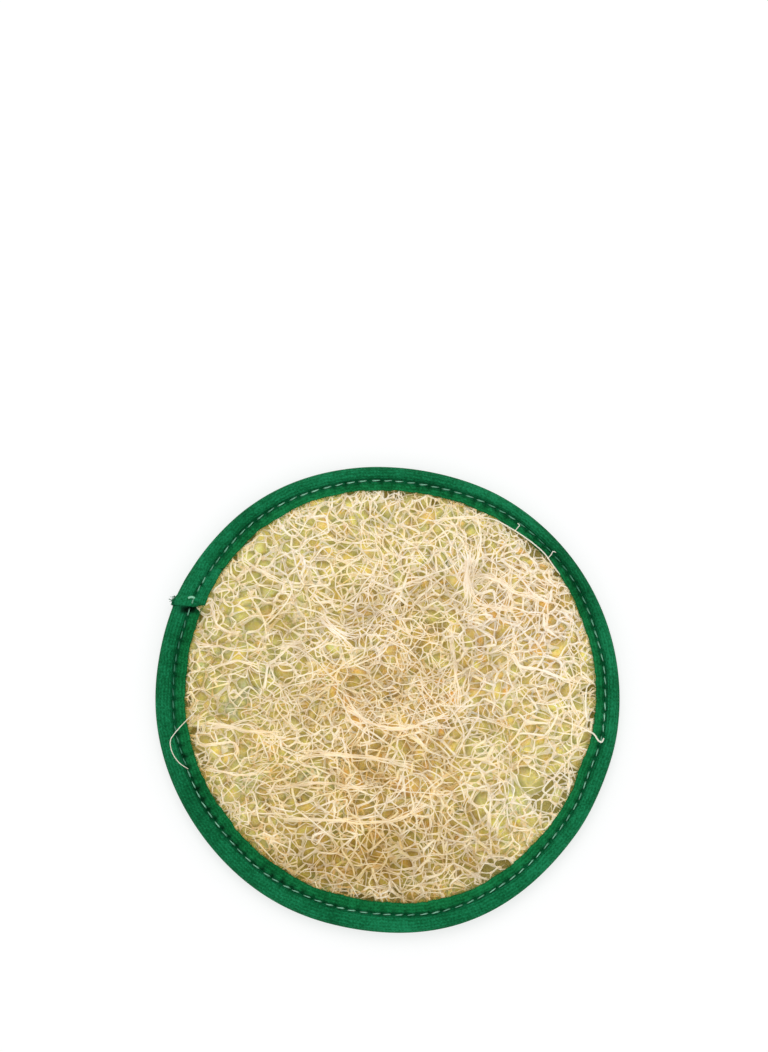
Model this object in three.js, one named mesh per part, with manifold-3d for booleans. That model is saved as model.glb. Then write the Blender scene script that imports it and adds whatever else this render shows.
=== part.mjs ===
// Round loofah scrubbing pad: the open fibre net of a dried gourd, laid over a foam sheet and bound round
// the rim with a folded green tape that is sewn through with a pale thread.
// Millimetres, +Z up. The pad lies on its back: the net faces up, and the tape's back face is at z = 0.

import * as THREE from "three";
import { mergeVertices } from "three/addons/utils/BufferGeometryUtils.js";
import Module from "manifold-3d";

const wasm = await Module();
wasm.setup();

const RADIANS = Math.PI / 180;
const TURN = 2 * Math.PI;
const CLEARANCE = 0.3;

// The hand-sewn rim is a circle with soft corners (out above 0) and flats (out below 0), in mm.
// at and reach are degrees; a corner fades to nothing at its reach to either side.
const RIM = {
  radius: 74.5,
  corners: [
    { at: 78, reach: 20, out: -0.4 },
    { at: 124, reach: 38, out: 1.5 },
    { at: 152, reach: 20, out: 0.5 },
    { at: 214, reach: 34, out: -0.6 },
    { at: 290, reach: 34, out: 1.4 },
    { at: 338, reach: 14, out: -0.3 },
  ],
};

// The tape lies wider on the face towards one side, because the fold wanders as it is sewn on.
const TAPE = {
  cloth: 0.95,
  height: 7,
  face: 8.4,
  faceSwing: 1.5,
  faceSwingTowards: 232,
  stitchShare: 0.61, // the seam's place across the face, from the fold
  grooveDepth: 1.15,
  grooveReach: 1.1,
  bankDrop: 0.35,
  lipDrop: 0.45,
  rollInset: 2.1,
  foldInset: 0.5,
  foldDrop: 1.7,
  steps: 72,
};

// The tape's end is folded under and lies over its own start. Its cut edge is at edgeY and runs along x.
// profile is [mm from the cut edge, mm above the tape]; the slant of the edge fades out over slantFades,
// and the lap itself round the fold, over shares of the tape's height.
const LAP = {
  edgeY: 30.6,
  slantFades: 20 * RADIANS,
  fadesFrom: 0.2,
  fadesOver: 0.6,
  profile: [
    [-0.15, 0],
    [0.15, 1.6],
    [2.6, 1.6],
    [3.4, 0.85],
    [9, 0.7],
    [14, 0],
  ],
};

const SEAM = { stitches: 114, thread: 0.62, rise: 0.55, lapReach: [-1.5, 0, 1.5] };

// Heights at the edge and in the middle, and the shares of the radius where the one turns into the other,
// on the face and on the back.
const FOAM = {
  edge: [2.5, 3.3],
  middle: [0.55, 3.7],
  faceTurns: [0.6, 0.82, 0.86],
  backTurns: [0.6, 0.8, 0.88],
  bend: [0.4, 0.7],
  steps: 48,
};

const MAT = {
  edgeBottom: 3.6,
  middleBottom: 4.05,
  edgeTop: 4.4,
  shoulder: 9.2,
  shoulderFrom: 2.2,
  shoulderReach: 7.5,
  crown: 10.6,
  insideRim: 2.0,
};

// How cells and strands are drawn. shake, pullIn and near place the seeds; grid is the steps in a
// millimetre that corners snap to; a strand loosens from the rim over loosens and swells by uneven.
const CELL = {
  shake: 0.62,
  pullIn: 0.4,
  near: 0.67,
  rimPoints: 72,
  grid: 500,
  loosens: 12,
  bendWaves: [9, 11],
  reliefWaves: 4,
  widthWaves: 14,
  uneven: 0.35,
  mostOfCell: 0.62,
  slope: 1.25,
  sideHeight: 0.45,
};

// One fibre net is a layer of cells whose walls are the strands.
const NETS = [
  {
    seed: 11,
    cells: 220,
    inset: MAT.insideRim,
    stretch: 1.35,
    strand: 1.2,
    top: 0,
    thickness: 2.3,
    relief: 0.75,
    bend: 1.5,
  },
  {
    seed: 5,
    cells: 54,
    inset: 11.5,
    stretch: 0.8,
    strand: 1.5,
    top: 3.6,
    thickness: 2.2,
    relief: 0.4,
    bend: 2.0,
  },
];

const COLOURS = {
  net: { color: 0xe3cda0, roughness: 0.75, metalness: 0 },
  foam: { color: 0xb9b066, roughness: 0.9, metalness: 0 },
  tape: { color: 0x1a6f44, roughness: 0.85, metalness: 0 },
  thread: { color: 0xb8dcc6, roughness: 0.6, metalness: 0 },
};

const smooth = (t) => {
  const c = Math.min(1, Math.max(0, t));
  return c * c * (3 - 2 * c);
};

const mix = (a, b, t) => a + (b - a) * t;

// How far a direction is from another, in degrees, from 0 to 180.
const apart = (a, b) => Math.abs(((((a - b) % 360) + 540) % 360) - 180);

// Radius of the rim's outer edge in a direction: the circle with its soft corners and flats.
function rimRadius(angle) {
  return RIM.corners.reduce((radius, { at, reach, out }) => {
    const share = Math.min(1, apart(angle / RADIANS, at) / reach);
    return radius + (out * (1 + Math.cos(Math.PI * share))) / 2;
  }, RIM.radius);
}

// Width of the tape on the pad's face, from the fold to its inner edge.
function tapeFace(angle) {
  return (
    TAPE.face + TAPE.faceSwing * Math.cos(angle - TAPE.faceSwingTowards * RADIANS)
  );
}

// Seeded draw of numbers from 0 to 1.
function draws(seed) {
  let state = seed * 2654435761;
  return () => {
    state = (state + 0x6d2b79f5) | 0;
    let t = Math.imul(state ^ (state >>> 15), 1 | state);
    t = (t + Math.imul(t ^ (t >>> 7), 61 | t)) ^ t;
    return ((t ^ (t >>> 14)) >>> 0) / 4294967296;
  };
}

// Smooth waves over the plane, from -1 to 1, that bend the strands and raise and lower them.
function wave(x, y, size, seed) {
  const a = Math.sin((x * 1.7 + y * 0.9) / size + seed * 1.3);
  const b = Math.sin((y * 1.9 - x * 0.8) / size + seed * 2.1);
  const c = Math.sin((x * 1.1 - y * 1.4) / (size * 0.6) + seed * 0.7);
  return (a + b + c) / 3;
}

function geometryOf(points, triangles) {
  const geometry = new THREE.BufferGeometry();
  geometry.setAttribute(
    "position",
    new THREE.Float32BufferAttribute(points.flat(), 3),
  );
  geometry.setIndex(triangles.flat());
  return geometry;
}

function solidOf(geometry) {
  const bare = geometry.clone();
  bare.deleteAttribute("normal");
  bare.deleteAttribute("uv");
  const merged = mergeVertices(bare, 1e-4);
  return new wasm.Manifold(
    new wasm.Mesh({
      numProp: 3,
      vertProperties: merged.attributes.position.array,
      triVerts: new Uint32Array(merged.index.array),
    }),
  );
}

function geometryFrom(solid) {
  const mesh = solid.getMesh();
  const geometry = new THREE.BufferGeometry();
  geometry.setAttribute(
    "position",
    new THREE.BufferAttribute(mesh.vertProperties, 3),
  );
  geometry.setIndex(new THREE.BufferAttribute(mesh.triVerts, 1));
  geometry.computeVertexNormals();
  return geometry;
}

const onRing = (radius, angle, z) => [
  radius * Math.cos(angle),
  radius * Math.sin(angle),
  z,
];

// A closed section carried round the rim and joined up. sectionAt(angle) gives [distance in from the rim,
// z] points, anticlockwise as seen with the rim on the left. turned(angle, inset) may slant the rows.
function ring(sectionAt, angles, turned = (angle) => angle) {
  const rows = angles.map((angle) =>
    sectionAt(angle).map(([inset, z]) => {
      const at = turned(angle, inset);
      return onRing(rimRadius(at) - inset, at, z);
    }),
  );
  const sides = rows[0].length;
  const triangles = rows.flatMap((_, row) => {
    const next = (row + 1) % rows.length;
    return rows[row].flatMap((_, side) => {
      const across = (side + 1) % sides;
      const [a, b] = [row * sides + side, row * sides + across];
      const [c, d] = [next * sides + across, next * sides + side];
      return [a, b, c, a, c, d];
    });
  });
  return geometryOf(rows.flat(), triangles);
}

const evenAngles = (steps) => Array.from({ length: steps }, (_, i) => (TURN * i) / steps);

// The tape's outer skin from its inner edge on the face, round the fold, to its inner edge on the back.
// The back lies flat between two points at z = 0, where the pad rests.
function tapeSkin(angle) {
  const face = tapeFace(angle);
  const seam = face * TAPE.stitchShare;
  const { height, grooveDepth, grooveReach } = TAPE;
  const upper = [
    [face, height - TAPE.lipDrop],
    [seam + grooveReach, height - TAPE.bankDrop],
    [seam, height - grooveDepth],
    [seam - grooveReach, height],
    [TAPE.rollInset, height],
    [TAPE.foldInset, height - TAPE.foldDrop],
  ];
  const lower = upper.map(([inset, z]) => [inset, height - z]).reverse();
  return [...upper, [0, height / 2], ...lower];
}

// The same line moved outwards by distanceAt(z).
function offsetSkin(skin, distanceAt) {
  return skin.map(([inset, z], i) => {
    const before = skin[Math.max(0, i - 1)];
    const after = skin[Math.min(skin.length - 1, i + 1)];
    const along = [after[0] - before[0], after[1] - before[1]];
    const share = distanceAt(z) / Math.hypot(...along);
    return [inset + along[1] * share, z - along[0] * share];
  });
}

// Angle at which the lap's cut edge crosses the line that runs inset from the rim.
const lapEdge = (inset) => Math.PI - Math.asin(LAP.edgeY / (RIM.radius - inset));

// Height of the folded end above the tape below it, some way along the tape from the cut edge.
function lapRise(away) {
  const after = LAP.profile.findIndex(([at]) => at > away);
  if (after < 1) return 0;
  const [[fromAt, from], [toAt, to]] = LAP.profile.slice(after - 1, after + 1);
  return mix(from, to, (away - fromAt) / (toAt - fromAt));
}

// The folded end rises on the face and fades out round the fold, so that the back still lies flat.
function tapeSection(angle) {
  const skin = tapeSkin(angle);
  const rise = lapRise((lapEdge(0) - angle) * RIM.radius);
  const shown = (z) => smooth((z / TAPE.height - LAP.fadesFrom) / LAP.fadesOver);
  const lining = skin.filter((_, i) => i % 2 === 0);
  return [
    ...offsetSkin(skin, (z) => rise * shown(z)),
    ...offsetSkin(lining, () => -TAPE.cloth).reverse(),
  ];
}

function bindingTape() {
  const lapRows = LAP.profile.map(([at]) => lapEdge(0) - at / RIM.radius);
  const [first, last] = [Math.min(...lapRows), Math.max(...lapRows)];
  const spacing = TURN / TAPE.steps / 2;
  const angles = evenAngles(TAPE.steps)
    .filter((angle) => angle < first - spacing || angle > last + spacing)
    .concat(lapRows)
    .sort((a, b) => a - b);
  return ring(tapeSection, angles, (angle, inset) => {
    const near = 1 - smooth(Math.abs(angle - lapEdge(0)) / LAP.slantFades);
    return angle + near * (lapEdge(inset) - lapEdge(0));
  });
}

// A tube round the whole seam that rises at each stitch and dips between stitches, and climbs the lap.
function seamThread(surface, outwards, share) {
  const radius = SEAM.thread / 2;
  const sectionAt = (angle) => {
    const phase = Math.round((angle / TURN) * SEAM.stitches * share.length);
    const inset = tapeFace(angle) * TAPE.stitchShare;
    const away = (lapEdge(inset) - angle) * RIM.radius;
    const climb = Math.max(...SEAM.lapReach.map((reach) => lapRise(away + reach)));
    const lift = SEAM.rise * share[phase % share.length] + (outwards > 0 ? climb : 0);
    const z = surface + outwards * (CLEARANCE + radius + lift);
    const corners = [90, 210, 330].map((corner) => [
      inset - radius * Math.cos(corner * RADIANS),
      z + radius * Math.sin(corner * RADIANS) * outwards,
    ]);
    return outwards > 0 ? corners.reverse() : corners;
  };
  return ring(sectionAt, evenAngles(SEAM.stitches * share.length));
}

// A disc that fills the rim. profile gives [share of the rim's radius, z] from the middle of the top
// over the edge to the middle of the back.
function disc(profile, inset, steps) {
  const rows = profile.slice(1, -1);
  const points = [
    [0, 0, profile[0][1]],
    [0, 0, profile[profile.length - 1][1]],
  ];
  const triangles = [];
  for (const [share, z] of rows)
    for (let step = 0; step < steps; step++) {
      const angle = (TURN * step) / steps;
      points.push(onRing((rimRadius(angle) - inset) * share, angle, z));
    }
  const at = (row, step) => 2 + row * steps + (step % steps);
  for (let step = 0; step < steps; step++) {
    triangles.push([0, at(0, step), at(0, step + 1)]);
    triangles.push([1, at(rows.length - 1, step + 1), at(rows.length - 1, step)]);
    for (let row = 0; row + 1 < rows.length; row++) {
      const [a, b] = [at(row, step), at(row, step + 1)];
      const [c, d] = [at(row + 1, step), at(row + 1, step + 1)];
      triangles.push([a, c, d], [a, d, b]);
    }
  }
  return geometryOf(points, triangles);
}

function foamSheet() {
  const [edgeLow, edgeHigh] = FOAM.edge;
  const [low, high] = FOAM.middle;
  const [faceFlat, faceBend, faceEdge] = FOAM.faceTurns;
  const [backFlat, backBend, backEdge] = FOAM.backTurns;
  return disc(
    [
      [0, high],
      [faceFlat, high],
      [faceBend, mix(edgeHigh, high, FOAM.bend[0])],
      [faceEdge, edgeHigh],
      [1, edgeHigh],
      [1, edgeLow],
      [backEdge, edgeLow],
      [backBend, mix(edgeLow, low, FOAM.bend[1])],
      [backFlat, low],
      [0, low],
    ],
    MAT.insideRim,
    FOAM.steps,
  );
}

// The mat's face and back at a place: thin under the tape, up a shoulder, then a shallow crown.
function matAt(x, y) {
  const angle = Math.atan2(y, x);
  const inwards = rimRadius(angle) - Math.hypot(x, y);
  const rise = smooth((inwards - tapeFace(angle) - MAT.shoulderFrom) / MAT.shoulderReach);
  const crown = smooth(inwards / RIM.radius);
  return {
    inwards,
    rise,
    face: mix(MAT.edgeTop, mix(MAT.shoulder, MAT.crown, crown), rise),
    back: mix(MAT.edgeBottom, MAT.middleBottom, rise),
  };
}

// Keeps the part of a convex polygon on the side of a line that holds the origin point.
function clip(polygon, point, normal) {
  const side = ([x, y]) => (x - point[0]) * normal[0] + (y - point[1]) * normal[1];
  return polygon.flatMap((a, i) => {
    const b = polygon[(i + 1) % polygon.length];
    const [sa, sb] = [side(a), side(b)];
    const kept = sa <= 0 ? [a] : [];
    if (sa < 0 === sb < 0) return kept;
    const t = sa / (sa - sb);
    return [...kept, [mix(a[0], b[0], t), mix(a[1], b[1], t)]];
  });
}

// Seeds spread over the disc on a sunflower spiral and shaken, then the cell nearest to each seed,
// cut by the halfway lines to the other seeds. stretch above 1 makes cells wider than they are tall.
function netCells({ seed, cells, inset, stretch }) {
  const draw = draws(seed);
  const golden = Math.PI * (3 - Math.sqrt(5));
  const reach = RIM.radius - inset;
  const spread = CELL.shake * (reach / Math.sqrt(cells));
  const seeds = Array.from({ length: cells }, (_, i) => {
    const radius = reach * Math.sqrt((i + 0.5) / cells) - CELL.pullIn;
    return [
      radius * Math.cos(i * golden) + spread * (draw() * 2 - 1),
      radius * Math.sin(i * golden) + spread * (draw() * 2 - 1),
    ];
  });
  const outline = evenAngles(CELL.rimPoints).map((angle) =>
    onRing(rimRadius(angle) - inset, angle, 0).slice(0, 2),
  );
  // Distances are measured with the plane squeezed along x, which stretches the cells along it.
  return seeds.map(([x, y], i) =>
    seeds.reduce((cell, [otherX, otherY], j) => {
      if (i === j || Math.hypot(otherX - x, otherY - y) > reach * CELL.near) return cell;
      const middle = [(x + otherX) / 2, (y + otherY) / 2];
      return clip(cell, middle, [(otherX - x) / stretch ** 2, otherY - y]);
    }, outline),
  );
}

// A net of ridged strands. Each cell leaves a hole, and between the holes a strand has a ridge on top
// and below, with its sides halfway down. Shared corners are worked out from their place alone, so that
// neighbouring cells meet.
function net(options) {
  const { seed, inset, strand, top, thickness, relief, bend } = options;
  const points = [];
  const triangles = [];
  const keyOf = ([x, y]) => `${Math.round(x * CELL.grid)},${Math.round(y * CELL.grid)}`;
  const cells = netCells(options).map((cell) =>
    cell.filter((p, i) => keyOf(p) !== keyOf(cell[(i + 1) % cell.length])),
  );
  const edgeCount = new Map();
  const wallOf = (a, b) => [keyOf(a), keyOf(b)].sort().join("|");
  for (const cell of cells)
    cell.forEach((a, i) => {
      const wall = wallOf(a, cell[(i + 1) % cell.length]);
      edgeCount.set(wall, (edgeCount.get(wall) ?? 0) + 1);
    });
  const snap = (value) => Math.round(value * CELL.grid) / CELL.grid;
  const place = ([x, y]) => {
    const [cx, cy] = [snap(x), snap(y)];
    const loose = bend * smooth((matAt(cx, cy).inwards - inset) / CELL.loosens);
    const px = cx + loose * wave(cx, cy, CELL.bendWaves[0], seed);
    const py = cy + loose * wave(cy, cx, CELL.bendWaves[1], seed + 4);
    const { rise, face, back } = matAt(px, py);
    const swell = wave(px, py, CELL.reliefWaves, seed + 8);
    const high = face - rise * (top + relief * (1 + swell));
    const low = Math.max(back, mix(back, high - thickness, rise));
    return { x: px, y: py, high, low };
  };
  for (const cell of cells) {
    const corners = cell.map(place);
    const middle = ["x", "y"].map(
      (axis) => corners.reduce((sum, p) => sum + p[axis], 0) / corners.length,
    );
    const start = points.length;
    for (const { x, y, high, low } of corners) {
      const out = Math.hypot(middle[0] - x, middle[1] - y);
      const width = strand * (1 + CELL.uneven * wave(x, y, CELL.widthWaves, seed + 2));
      const share = Math.min(CELL.mostOfCell, (CELL.slope * width) / out);
      const side = [mix(x, middle[0], share), mix(y, middle[1], share)];
      points.push([x, y, high], [...side, mix(low, high, CELL.sideHeight)], [x, y, low]);
    }
    corners.forEach((_, i) => {
      const a = start + 3 * i;
      const b = start + 3 * ((i + 1) % corners.length);
      triangles.push([a, b, b + 1], [a, b + 1, a + 1]);
      triangles.push([a + 1, b + 1, b + 2], [a + 1, b + 2, a + 2]);
      const open = edgeCount.get(wallOf(cell[i], cell[(i + 1) % cell.length])) < 2;
      if (open) triangles.push([a, a + 2, b + 2], [a, b + 2, b]);
    });
  }
  return geometryOf(points, triangles);
}

// The nets joined in one body. A hollow that the joint seals is filled, and loose scraps are dropped.
function loofahMat() {
  const joined = NETS.map((options) => solidOf(net(options))).reduce((a, b) => a.add(b));
  return joined.decompose().reduce((a, b) => (a.volume() > b.volume() ? a : b));
}

// Half of the way from the lowest to the highest value.
const halfway = (values) => (Math.min(...values) + Math.max(...values)) / 2;

function node(name, geometry, finish) {
  const mesh = new THREE.Mesh(geometry, new THREE.MeshStandardMaterial(finish));
  mesh.name = name;
  return mesh;
}

const pad = new THREE.Group();
const faceGroove = TAPE.height - TAPE.grooveDepth;
pad.add(
  node("loofah_mat", geometryFrom(loofahMat()), COLOURS.net),
  node("foam_sheet", foamSheet(), COLOURS.foam),
  node("binding_tape", bindingTape(), COLOURS.tape),
  node("seam_thread_face", seamThread(faceGroove, 1, [0, 1, 1]), COLOURS.thread),
  node("seam_thread_back", seamThread(TAPE.grooveDepth, -1, [0, 0.3]), COLOURS.thread),
);

// The origin is below the middle of the pad's outline.
const outline = Array.from({ length: 360 }, (_, degree) =>
  onRing(rimRadius(degree * RADIANS), degree * RADIANS, 0),
);
pad.position.set(
  -halfway(outline.map(([x]) => x)),
  -halfway(outline.map(([, y]) => y)),
  0,
);

export default pad;
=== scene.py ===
import math

import bpy
import numpy as np
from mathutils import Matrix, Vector
from mathutils.geometry import delaunay_2d_cdt


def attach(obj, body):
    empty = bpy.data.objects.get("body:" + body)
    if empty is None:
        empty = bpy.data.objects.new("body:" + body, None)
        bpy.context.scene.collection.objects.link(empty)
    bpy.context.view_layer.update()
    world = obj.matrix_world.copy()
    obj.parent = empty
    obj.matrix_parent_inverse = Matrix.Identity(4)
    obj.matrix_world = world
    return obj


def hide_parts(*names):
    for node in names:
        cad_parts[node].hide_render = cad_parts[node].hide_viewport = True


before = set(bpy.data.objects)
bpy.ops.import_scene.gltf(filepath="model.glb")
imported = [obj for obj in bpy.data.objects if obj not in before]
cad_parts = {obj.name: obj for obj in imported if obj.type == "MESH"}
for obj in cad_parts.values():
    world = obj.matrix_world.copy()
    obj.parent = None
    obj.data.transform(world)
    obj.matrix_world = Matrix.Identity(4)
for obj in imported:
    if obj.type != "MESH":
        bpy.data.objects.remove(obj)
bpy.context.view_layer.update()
print("frame loaded")

# Sizes are millimetres up to putMesh, which turns them into metres. +Z is out of the net face.
mm = 0.001
turn = 2 * math.pi


def smooth(t):
    # 3t^2 - 2t^3 with t held between 0 and 1
    t = np.clip(t, 0, 1)
    return t * t * (3 - 2 * t)


def mix(a, b, t):
    return a + (b - a) * t


def unit(v):
    # each vector of the last axis over its length
    return v / np.maximum(np.linalg.norm(v, axis=-1, keepdims=True), 1e-9)


def waves(x, y, size, seed):
    # seven plane waves of mixed direction, length near size and seeded phase, summed to about -1..1
    draw = np.random.default_rng(seed)
    total = 0
    for heading, length, phase in zip(
        draw.uniform(0, turn, 7), size * draw.uniform(0.65, 1.6, 7), draw.uniform(0, turn, 7)
    ):
        total = total + np.sin(turn * (x * math.cos(heading) + y * math.sin(heading)) / length + phase)
    return total / 3.2


# the rim that every piece follows: a circle with soft corners and flats
rim = {
    "radius": 74.5,
    "centreY": 0.317,
    "thick": 7.0,
    "corners": (
        (78, 20, -0.4), (124, 38, 1.5), (152, 20, 0.5), (214, 34, -0.6), (290, 34, 1.4), (338, 14, -0.3)
    ),
}


def bumps(angle, spots):
    # spots are (direction, reach, height), the first two in degrees. Each falls by a cosine to 0 at
    # its reach
    total = 0
    for at, reach, height in spots:
        away = np.abs((np.degrees(angle) - at + 540) % 360 - 180)
        total = total + height * (1 + np.cos(np.pi * np.minimum(1, away / reach))) / 2
    return total


def rimRadius(angle):
    return rim["radius"] + bumps(angle, rim["corners"])


def fromRim(angle, inset):
    # a point inset from the rim, on the ray at that angle
    radius = rimRadius(angle) - inset
    return radius * np.cos(angle), radius * np.sin(angle) + rim["centreY"]


def toRim(x, y):
    # the angle of a point and how far it is inside the rim
    y = y - rim["centreY"]
    angle = np.arctan2(y, x)
    return angle, rimRadius(angle) - np.hypot(x, y)


tape = {
    "face": 8.4,
    "faceSwing": 1.5,
    "faceSwingTowards": 232,
    "notches": ((39, 26, -0.9), (341, 10, 0.6)),
    "stitchShare": 0.61,
    "cloth": 0.85,
    "stitches": 114,
    "perStitch": 7,
    "between": 4,
    "rollMark": 6,  # the stations at the outer side of the groove and at the fold
    "foldMark": 11,
    "rib": 0.1,
    "ribPitch": 1.08,
    "fringe": 2600,
    "loops": 440.0,
    "columns": 28.0,
    "colour": (0.003, 0.126, 0.04),
    "lit": (0.012, 0.25, 0.1),
    "dark": (0.0008, 0.05, 0.016),
    "shadow": (0.0004, 0.008, 0.003),
    "fuzz": (0.1, 0.3, 0.07),
    "flapTint": (0.88, 0.95, 0.76),
    "dimpleShade": (0.9, 0.95, 0.8),
    "dimpleShadeSpots": ((218, 70, 0.75), (75, 60, 0.4)),
}


def tapeFace(angle):
    # width of the tape on the face: a swing once round, a narrow stretch at the upper right and a wide
    # one below the right
    swing = tape["faceSwing"] * np.cos(angle - math.radians(tape["faceSwingTowards"]))
    return tape["face"] + swing + bumps(angle, tape["notches"])


def putMesh(name, points, faces, values=None, uv=None):
    # points (n, 3) in mm; faces is a list of (m, k) index arrays; values holds the points' numbers by name
    data = bpy.data.meshes.new(name)
    corners = np.concatenate([f.ravel() for f in faces]).astype(np.int32)
    sizes = np.concatenate([np.full(len(f), f.shape[1], np.int32) for f in faces])
    data.vertices.add(len(points))
    data.vertices.foreach_set("co", (np.asarray(points, np.float32) * mm).ravel())
    data.loops.add(len(corners))
    data.loops.foreach_set("vertex_index", corners)
    data.polygons.add(len(sizes))
    data.polygons.foreach_set("loop_start", (np.cumsum(sizes) - sizes).astype(np.int32))
    data.update(calc_edges=True)
    data.shade_smooth()
    for key, each in (values or {}).items():
        data.attributes.new(key, "FLOAT", "POINT").data.foreach_set("value", each.astype(np.float32))
    if uv is not None:
        data.uv_layers.new(name="cloth").data.foreach_set("uv", uv.astype(np.float32).ravel())
    data.validate()
    piece = bpy.data.objects.new(name, data)
    bpy.context.scene.collection.objects.link(piece)
    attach(piece, "root")
    print(name, len(data.polygons), "faces")
    return piece


def gridFaces(rows, columns, closedRows=False, closedColumns=False):
    # the quads of a grid of points numbered row by row
    r = np.arange(rows if closedRows else rows - 1)[:, None]
    c = np.arange(columns if closedColumns else columns - 1)[None, :]
    nextRow, nextC = (r + 1) % rows * columns, (c + 1) % columns
    row = r * columns
    return np.stack([row + c, nextRow + c, nextRow + nextC, row + nextC], -1).reshape(-1, 4)


def tubes(path, radius, sides, flat=0.85, twist=0.0):
    # rings of points round many paths at once. path is (n, rings, 3), radius (n, rings). Each ring lies
    # across the path; flat squeezes it upright. Each end is closed with one face.
    count, rings = path.shape[:2]
    along = unit(np.gradient(path, axis=1))
    across = unit(np.cross(along, [0.0, 0.0, 1.0]))
    upright = np.cross(across, along)
    around = turn * np.arange(sides) / sides + twist
    points = (
        path[:, :, None, :]
        + (radius[:, :, None] * np.cos(around))[..., None] * across[:, :, None, :]
        + (radius[:, :, None] * np.sin(around) * flat)[..., None] * upright[:, :, None, :]
    )
    side = gridFaces(rings, sides, closedColumns=True)
    start = (np.arange(count) * rings * sides)[:, None]
    quads = (start[:, :, None] + side[None]).reshape(-1, 4)
    first = (start + np.arange(sides)[::-1][None]).reshape(-1, sides)
    last = (start + (rings - 1) * sides + np.arange(sides)[None]).reshape(-1, sides)
    return points.reshape(-1, 3), [quads, first[:, ::-1], last[:, ::-1]]


def curves(start, end, leave, arrive, rings):
    # cubic curves from start to end, (n, 3) each, that leave and arrive along the given vectors
    t = np.linspace(0, 1, rings)[None, :, None]
    return (
        (2 * t**3 - 3 * t**2 + 1) * start[:, None]
        + (t**3 - 2 * t**2 + t) * leave[:, None]
        + (3 * t**2 - 2 * t**3) * end[:, None]
        + (t**3 - t**2) * arrive[:, None]
    )


class Wire:
    # one socket of a material; arithmetic on it adds Math nodes
    def __init__(self, tree, socket=None):
        self.tree = tree
        self.socket = socket

    def node(self, kind, settings=(), sockets=(), output=0):
        made = self.tree.nodes.new(kind)
        for name, value in dict(settings).items():
            if name == "stops":
                ramp = made.color_ramp.elements
                while len(ramp) < len(value):
                    ramp.new(0.5)
                for stop, (at, colour) in zip(ramp, value):
                    stop.position = at
                    stop.color = (*colour, 1) if len(colour) == 3 else colour
            else:
                setattr(made, name, value)
        for name, value in dict(sockets).items():
            if isinstance(value, Wire):
                self.tree.links.new(value.socket, made.inputs[name])
            else:
                made.inputs[name].default_value = value
        return Wire(self.tree, made.outputs[output])

    def maths(self, operation, *values):
        return self.node("ShaderNodeMath", {"operation": operation}, dict(enumerate(values)))

    def __add__(self, other):
        return self.maths("ADD", self, other)

    def __sub__(self, other):
        return self.maths("SUBTRACT", self, other)

    def __mul__(self, other):
        return self.maths("MULTIPLY", self, other)

    def __radd__(self, other):
        return self.maths("ADD", other, self)

    def __rsub__(self, other):
        return self.maths("SUBTRACT", other, self)

    def __rmul__(self, other):
        return self.maths("MULTIPLY", other, self)

    def clamped(self, low=0.0, high=1.0):
        return self.node("ShaderNodeClamp", (), {"Value": self, "Min": low, "Max": high})

    def place(self):
        return self.node("ShaderNodeTexCoord", output="Object")

    def attribute(self, name):
        return self.node("ShaderNodeAttribute", {"attribute_name": name}, output="Fac")

    def noise(self, scale, detail=3.0, roughness=0.55):
        values = {"Vector": self.place(), "Scale": scale, "Detail": detail, "Roughness": roughness}
        return self.node("ShaderNodeTexNoise", (), values)

    def cells(self, feature, scale, **values):
        values = {"Vector": self.place(), "Scale": scale, **values}
        return self.node("ShaderNodeTexVoronoi", {"feature": feature}, values)

    def blend(self, a, b, factor, way="MIX"):
        settings = {"data_type": "RGBA", "blend_type": way}
        return self.node("ShaderNodeMix", settings, {0: factor, 6: a, 7: b}, output=2)

    def ramp(self, *stops):
        return self.node("ShaderNodeValToRGB", {"stops": stops}, {"Fac": self})

    def raised(self, height, strength, distance):
        values = {"Height": height, "Strength": strength, "Distance": distance}
        return self.node("ShaderNodeBump", (), values)


def finish(name, pieces, paint, **constants):
    # a Principled material. paint(wire) gives what changes over the surface, by socket name
    material = bpy.data.materials.new(name)
    material.use_nodes = True
    tree = material.node_tree
    shader = tree.nodes["Principled BSDF"]
    for socket, value in constants.items():
        shader.inputs[socket.replace("_", " ")].default_value = value
    for socket, wire in paint(Wire(tree)).items():
        tree.links.new(wire.socket, shader.inputs[socket])
    for piece in pieces:
        piece.data.materials.clear()
        piece.data.materials.append(material)


view = {
    "pixelsPerMm": 3.107,
    "picture": (768, 1052),
    "centreAt": (387.5, 699.6),  # the pad's middle in the picture
    "away": 2200,
    "sensor": 36,
    "farthest": 20,
}

studio = {
    "reach": 3000,
    "floor": (0.36, 0.362, 0.364),
    "floorGlow": 0.66,
    "world": 0.72,
    "key": {"at": (-100, 900, 1650), "size": 1200, "watts": 9.6},
    "fill": {"at": (700, -600, 1500), "size": 1600, "watts": 2.0},
    "bounces": 8,
}


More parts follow.
